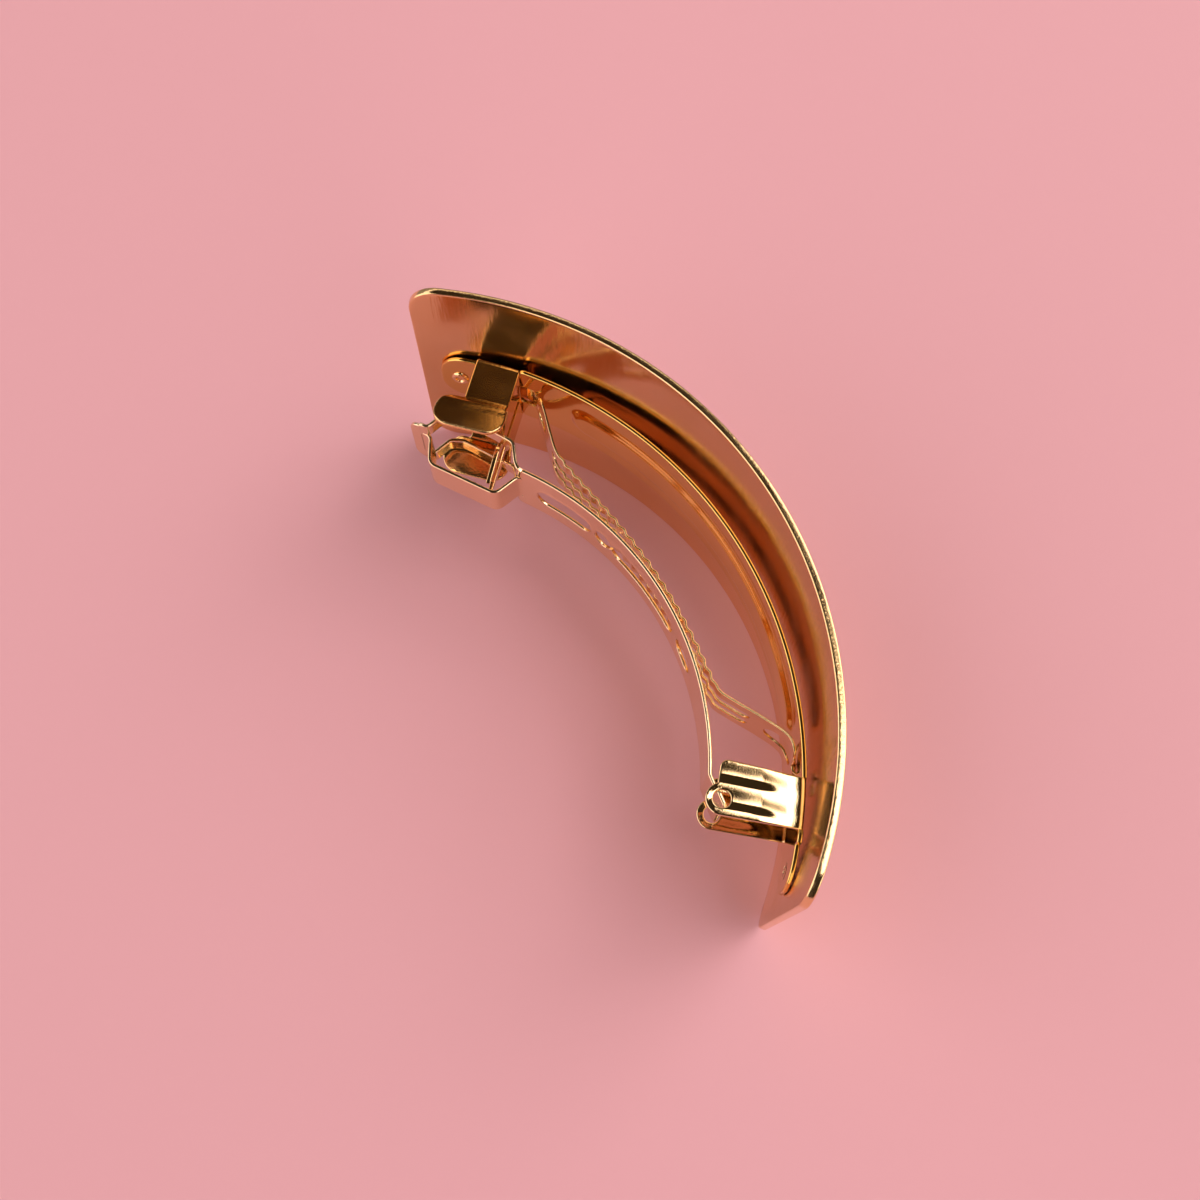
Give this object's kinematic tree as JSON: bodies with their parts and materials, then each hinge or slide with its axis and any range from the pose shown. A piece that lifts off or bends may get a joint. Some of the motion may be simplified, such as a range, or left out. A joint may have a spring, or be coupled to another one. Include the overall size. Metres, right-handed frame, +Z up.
{
  "type": "hair barrette",
  "caption": "Arched metal hair barrette whose curved cover plate carries a base bar, a hinged clasp arm, a sprung pinch catch and a corrugated tension bow.",
  "frame": {"origin": "middle of the plate's thickness at the crown of the arch, on the lower long edge that the clip stands on", "axes": "+X along the clip towards the hinge end, +Y out through the plate's convex face at the crown, +Z up across the plate's width"},
  "size_m": [0.088, 0.0308, 0.036],
  "materials": {
    "plate_metal": "mirror-polished yellow gold plating",
    "bar_metal": "bright yellow gold plating with fine drawn lines",
    "arm_metal": "bright gold plating with fine lines along the strip",
    "bow_metal": "bright gold-plated spring strip",
    "stud_metal": "bright gold plating, crimped"
  },
  "bodies": {
    "clip": {"cover_plate": "plate_metal", "base_bar": "bar_metal", "tension_bow": "bow_metal", "stud_catch_end": "stud_metal", "stud_hinge_end": "stud_metal"},
    "arm": {"clasp_arm": "arm_metal"},
    "wing_upper": {"catch_wing_upper": "bar_metal"},
    "wing_lower": {"catch_wing_lower": "bar_metal"}
  },
  "joints": [
    {"name": "arm_hinge", "type": "hinge", "parent": "clip", "child": "arm", "pos_m": [0.02869, -0.02255, 0.018], "axis": [0, 0, 1], "range_deg": [0, 85]},
    {"name": "wing_upper_flex", "type": "hinge", "parent": "clip", "child": "wing_upper", "pos_m": [-0.03498, -0.01598, 0.0233], "axis": [0.7193, 0.6947, 0], "range_deg": [0, 4.5], "stiffness_Nm_per_rad": 0.6},
    {"name": "wing_lower_flex", "type": "hinge", "parent": "clip", "child": "wing_lower", "pos_m": [-0.03498, -0.01598, 0.0127], "axis": [-0.7193, -0.6947, 0], "range_deg": [0, 4.5], "stiffness_Nm_per_rad": 0.6}
  ]
}
